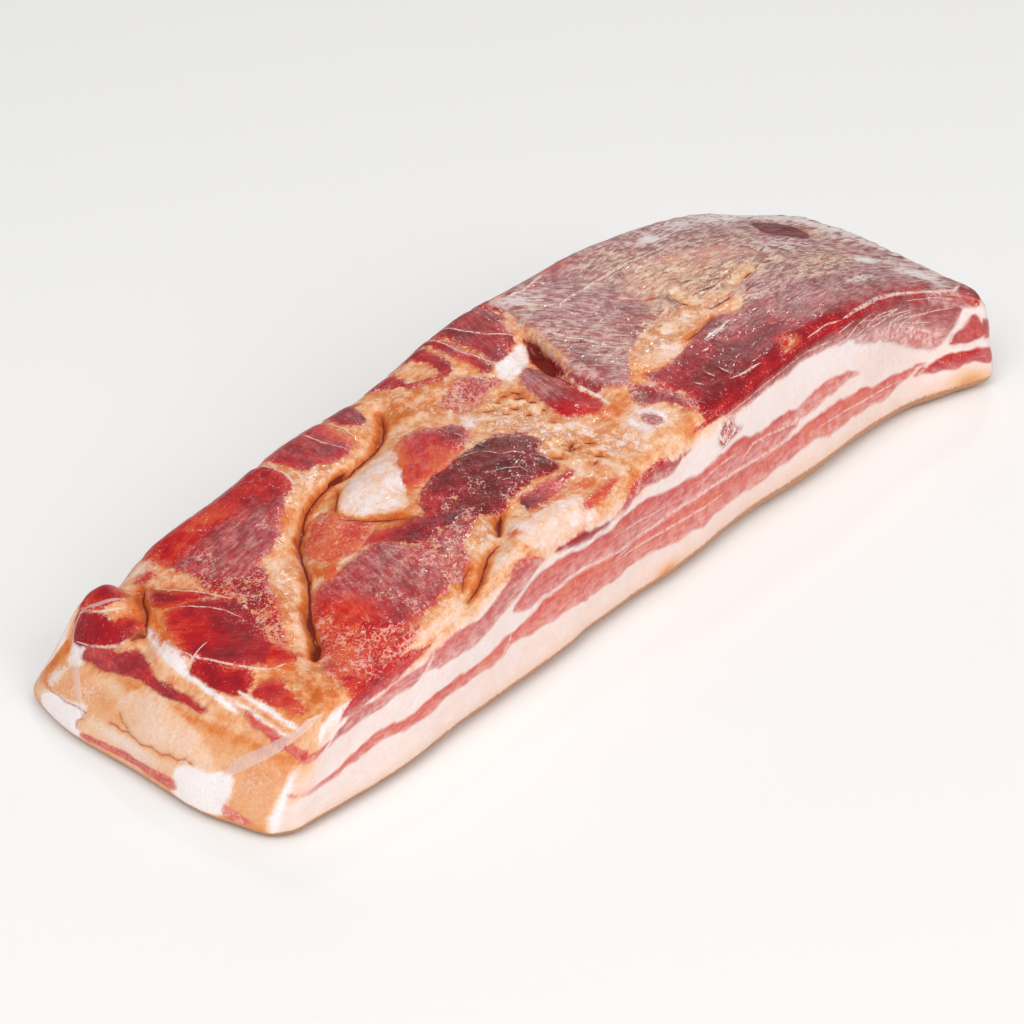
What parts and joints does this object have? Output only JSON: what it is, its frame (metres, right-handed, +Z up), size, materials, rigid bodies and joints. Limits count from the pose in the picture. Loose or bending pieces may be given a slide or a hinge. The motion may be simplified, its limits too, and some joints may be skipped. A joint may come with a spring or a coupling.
{
  "type": "pancetta slab",
  "caption": "Slab of smoked belly pancetta in tight clear film, with muscles and seams on its uneven top, layered lean and fat on its sides and a flat rind below.",
  "frame": {"origin": "on the surface the slab lies on, under the middle of its outline", "axes": "+X along the slab from its thin end to its thick end, +Y across it from the long side with the layers shown to the back, +Z up from the rind"},
  "size_m": [0.3788, 0.1294, 0.059],
  "materials": {
    "smoked_meat": "moist smoked pork belly, red lean and cream fat, under tight clear film"
  },
  "bodies": {
    "root": {"pancetta_slab": "smoked_meat"}
  },
  "joints": []
}
